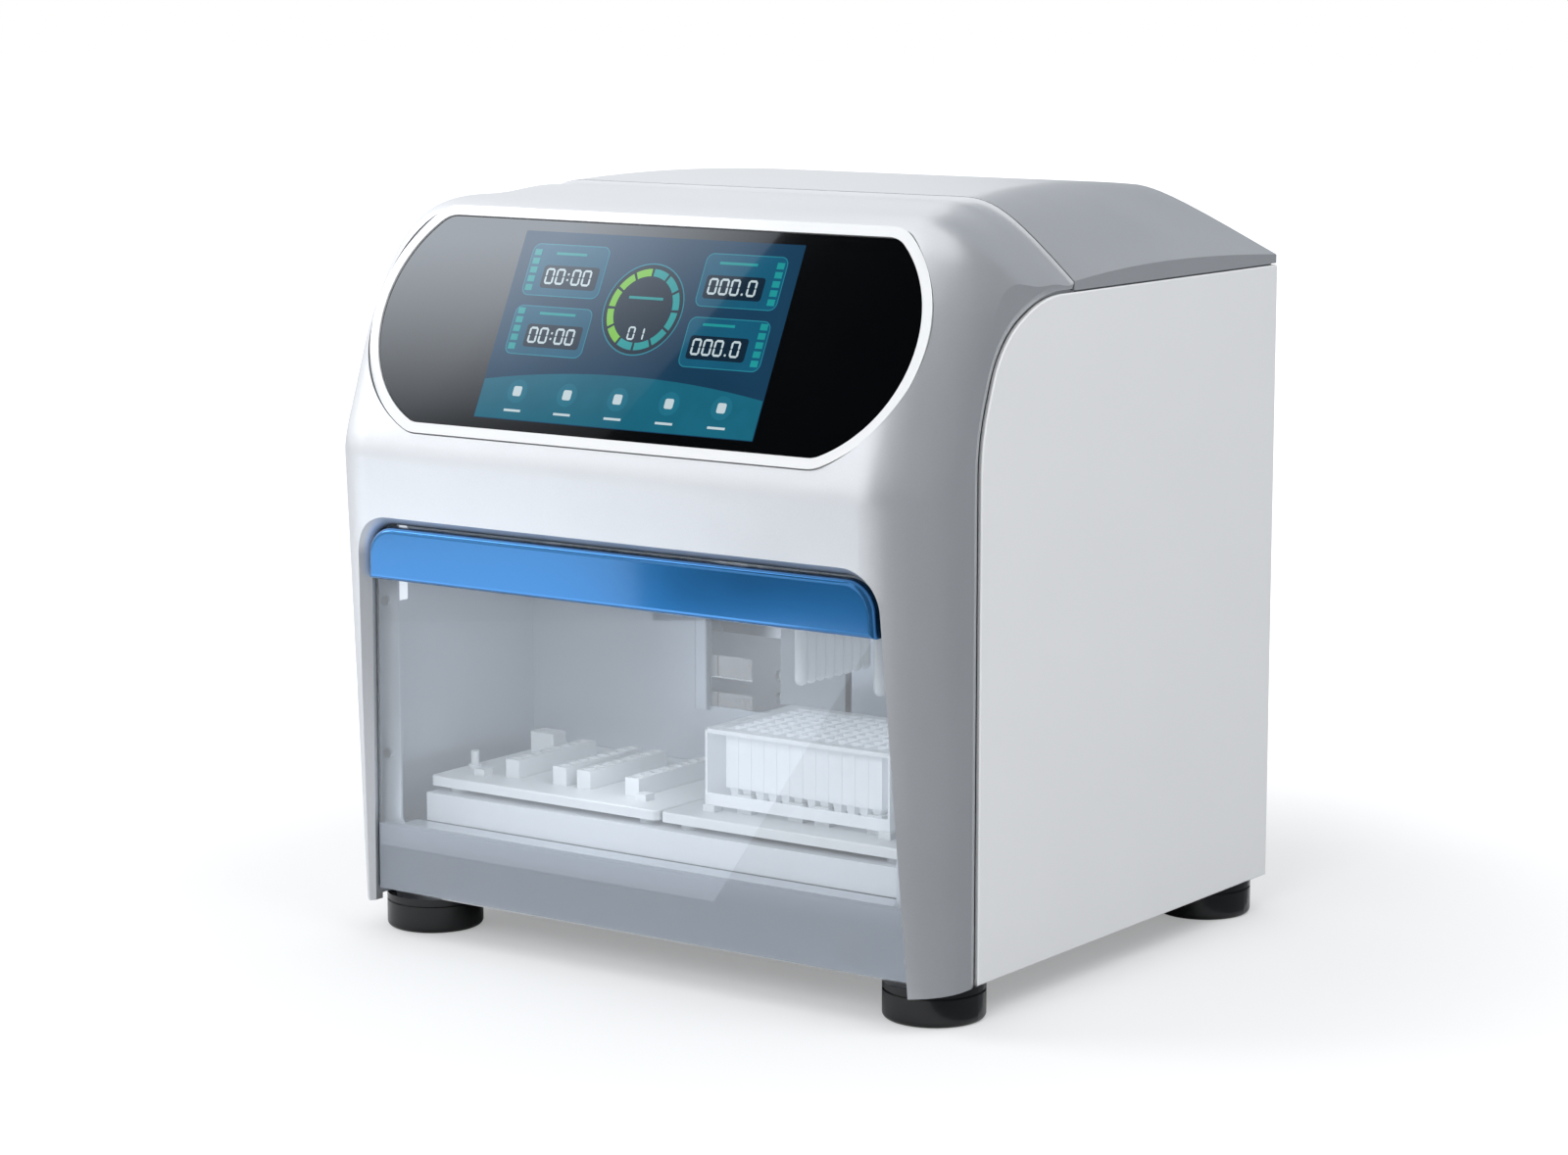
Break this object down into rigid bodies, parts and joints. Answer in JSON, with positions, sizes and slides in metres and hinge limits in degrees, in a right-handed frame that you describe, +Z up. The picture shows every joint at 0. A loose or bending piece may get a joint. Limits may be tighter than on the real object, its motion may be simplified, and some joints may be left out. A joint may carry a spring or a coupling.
{
  "type": "nucleic acid extractor",
  "caption": "Bench-top magnetic-bead nucleic acid extractor: sloped touch display over a drop-down clear door, with a sleeve head over two heated trays.",
  "frame": {"origin": "on the floor under the middle of the machine", "axes": "+Z up, front and door towards -Y, +X to the right as seen from the front"},
  "size_m": [0.42, 0.394, 0.449],
  "materials": {
    "casing_paint": "silver-white pearl paint, satin",
    "panel_paint": "light grey powder coat, fine matt texture",
    "bezel_white": "gloss white moulding",
    "display_black": "black printed cover glass, glossy",
    "screen_module": "matt black display module",
    "zinc_sheet": "zinc-plated sheet",
    "circuit_green": "green solder-masked board",
    "door_acrylic": "clear acrylic, polished",
    "grip_blue": "blue, satin gloss",
    "chamber_paint": "pale blue-grey paint, satin",
    "lower_grey": "mid-grey paint, satin",
    "pedestal_blue": "blue-grey paint, satin",
    "tray_aluminium": "bead-blasted, clear anodised",
    "mast_grey": "light grey paint, satin",
    "steel": "ground steel",
    "door_hinge_plastic": "grey moulding, matt",
    "magnet_dark": "grey capped magnets, matt",
    "plate_clear": "natural polypropylene, milky",
    "sleeve_clear": "natural polypropylene, milky",
    "lamp_glass": "clear quartz tube",
    "lamp_ends": "white ceramic-like ends, matt",
    "light_white": "frosted diffuser",
    "foot_rubber": "black rubber, slightly glossy",
    "motor_black": "black laminated motor",
    "black_plastic": "black moulding, matt",
    "rocker_black": "black, glossy",
    "port_metal": "plated connector shells"
  },
  "bodies": {
    "chassis": {"base_plate": "zinc_sheet", "chamber_back": "chamber_paint", "chamber_wall_left": "chamber_paint", "chamber_wall_right": "chamber_paint", "cross_bearings": "steel", "cross_motor": "motor_black", "cross_motor_bracket": "zinc_sheet", "cross_rails": "steel", "data_ports": "port_metal", "display_bezel": "bezel_white", "display_board": "circuit_green", "display_bracket": "zinc_sheet", "display_glass": "display_black", "display_screen": "screen_module", "door_magnets": "magnet_dark", "drive_board": "circuit_green", "fan_frame": "black_plastic", "fan_guard": "zinc_sheet", "feet": "foot_rubber", "frame_screws": "steel", "front_frame": "chamber_paint", "front_shell": "casing_paint", "gantry": "tray_aluminium", "hinge_brackets": "lower_grey", "hinge_pins": "steel", "lamp_holders": "lamp_ends", "light_strip": "light_white", "lower_panel": "lower_grey", "pedestal": "pedestal_blue", "power_inlet": "black_plastic", "power_supply": "steel", "rear_panel": "panel_paint", "rear_screws": "steel", "side_panel_left": "panel_paint", "side_panel_right": "panel_paint", "switch_frame": "black_plastic", "top_cover": "casing_paint", "tray_left": "tray_aluminium", "tray_right": "tray_aluminium", "tray_sensor": "tray_aluminium", "uv_lamp": "lamp_glass", "well_plate": "plate_clear"},
    "door": {"door_glass": "door_acrylic", "door_grip": "grip_blue", "door_knuckles": "door_hinge_plastic"},
    "carriage": {"mast": "mast_grey", "lift_rail": "steel", "lift_motor": "motor_black"},
    "sleeve_stage": {"sleeve_holder": "tray_aluminium", "sleeve_combs": "sleeve_clear", "guide_posts": "steel", "magnet_bridge": "tray_aluminium", "magnet_motor": "motor_black"},
    "magnet_stage": {"magnet_plate": "tray_aluminium", "magnet_rods": "steel"},
    "cross_spindle": {"cross_screw": "steel"},
    "lift_spindle": {"lift_screw": "steel"},
    "magnet_spindle": {"magnet_screw": "steel"},
    "fan": {"fan_rotor": "black_plastic"},
    "rocker": {"power_rocker": "rocker_black"}
  },
  "joints": [
    {"name": "door_hinge", "type": "hinge", "parent": "chassis", "child": "door", "pos_m": [0, -0.1625, 0.038], "axis": [1, 0, 0], "range_deg": [0, 87]},
    {"name": "head_slide", "type": "slide", "parent": "chassis", "child": "carriage", "axis": [1, 0, 0], "range_m": [-0.045, 0]},
    {"name": "sleeve_slide", "type": "slide", "parent": "carriage", "child": "sleeve_stage", "axis": [0, 0, 1], "range_m": [-0.062, 0]},
    {"name": "magnet_slide", "type": "slide", "parent": "sleeve_stage", "child": "magnet_stage", "axis": [0, 0, 1], "range_m": [-0.07, 0]},
    {"name": "cross_screw_spin", "type": "hinge", "parent": "chassis", "child": "cross_spindle", "pos_m": [0, 0.008, 0.262], "axis": [1, 0, 0], "range_deg": [-1630, 10]},
    {"name": "lift_screw_spin", "type": "hinge", "parent": "carriage", "child": "lift_spindle", "pos_m": [0.03, -0.024, 0.3], "axis": [0, 0, 1], "range_deg": [-2800, 10]},
    {"name": "magnet_screw_spin", "type": "hinge", "parent": "sleeve_stage", "child": "magnet_spindle", "pos_m": [0.0225, -0.087, 0.3], "axis": [0, 0, 1], "range_deg": [-3160, 10]},
    {"name": "fan_spin", "type": "hinge", "parent": "chassis", "child": "fan", "pos_m": [-0.105, 0.18, 0.265], "axis": [0, 1, 0], "continuous": true},
    {"name": "power_switch", "type": "hinge", "parent": "chassis", "child": "rocker", "pos_m": [0.128, 0.19, 0.102], "axis": [1, 0, 0], "range_deg": [-18, 0]}
  ],
  "couplings": [
    {"joint": "cross_screw_spin", "follows": "head_slide", "rad_per_m": 628.32},
    {"joint": "lift_screw_spin", "follows": "sleeve_slide", "rad_per_m": 785.4},
    {"joint": "magnet_screw_spin", "follows": "magnet_slide", "rad_per_m": 785.4}
  ]
}
